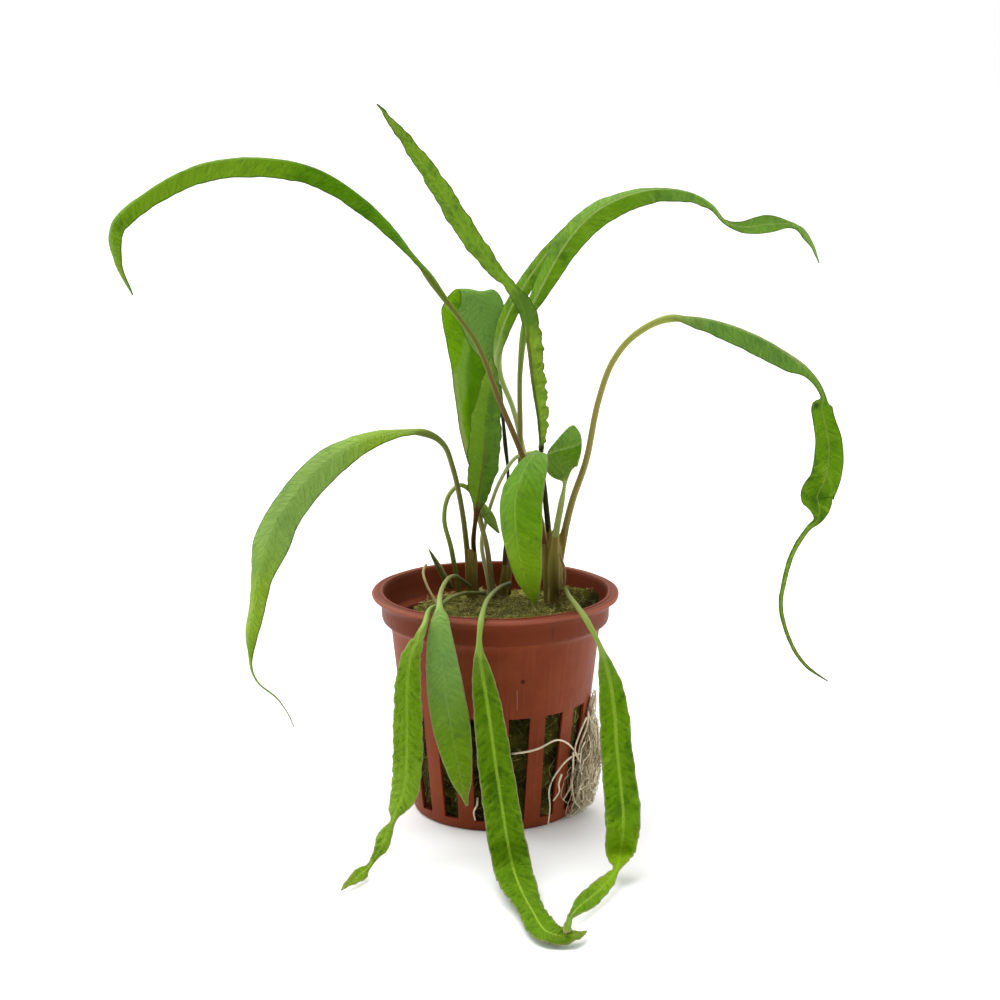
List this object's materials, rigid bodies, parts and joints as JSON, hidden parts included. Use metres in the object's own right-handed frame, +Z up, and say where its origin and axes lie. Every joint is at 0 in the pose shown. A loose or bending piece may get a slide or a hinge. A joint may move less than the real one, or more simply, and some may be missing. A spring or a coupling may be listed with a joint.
{
  "type": "potted cryptocoryne",
  "caption": "Small aquarium plant with long arching and trailing leaves, rooted in rock wool in a slotted round net pot that stands on its flat underside.",
  "frame": {"origin": "the centre of the pot's underside, on the surface that it stands on", "axes": "+Z up along the pot's axis, -Y toward the front, where the trailing leaves hang over the rim, +X to the right"},
  "size_m": [0.1547, 0.1263, 0.1553],
  "materials": {
    "terracotta_plastic": "thin moulded plastic, satin",
    "rock_wool": "matted mineral fibre, overgrown olive green",
    "crown": "fibrous brown leaf bases",
    "leaf": "thin live leaf, satin and slightly see-through",
    "withered_leaf": "blackened, shrivelled leaf",
    "roots": "bare cream roots"
  },
  "bodies": {
    "root": {"net_pot": "terracotta_plastic", "rock_wool": "rock_wool", "crown_left": "crown", "crown_middle": "crown", "crown_right": "crown", "leaf_upper_left": "leaf", "leaf_left": "leaf", "leaf_back_folded": "leaf", "leaf_tall": "leaf", "leaf_upper_right": "leaf", "leaf_ruffled": "leaf", "leaf_behind": "leaf", "leaf_right": "leaf", "leaf_front_cupped": "leaf", "leaf_front_hanging": "leaf", "leaf_rim_short": "leaf", "leaf_trailing_left": "leaf", "leaf_trailing_middle": "leaf", "leaf_trailing_right": "leaf", "leaf_looped": "leaf", "shoot_small": "leaf", "leaf_withered": "withered_leaf", "root_tuft": "roots"}
  },
  "joints": []
}
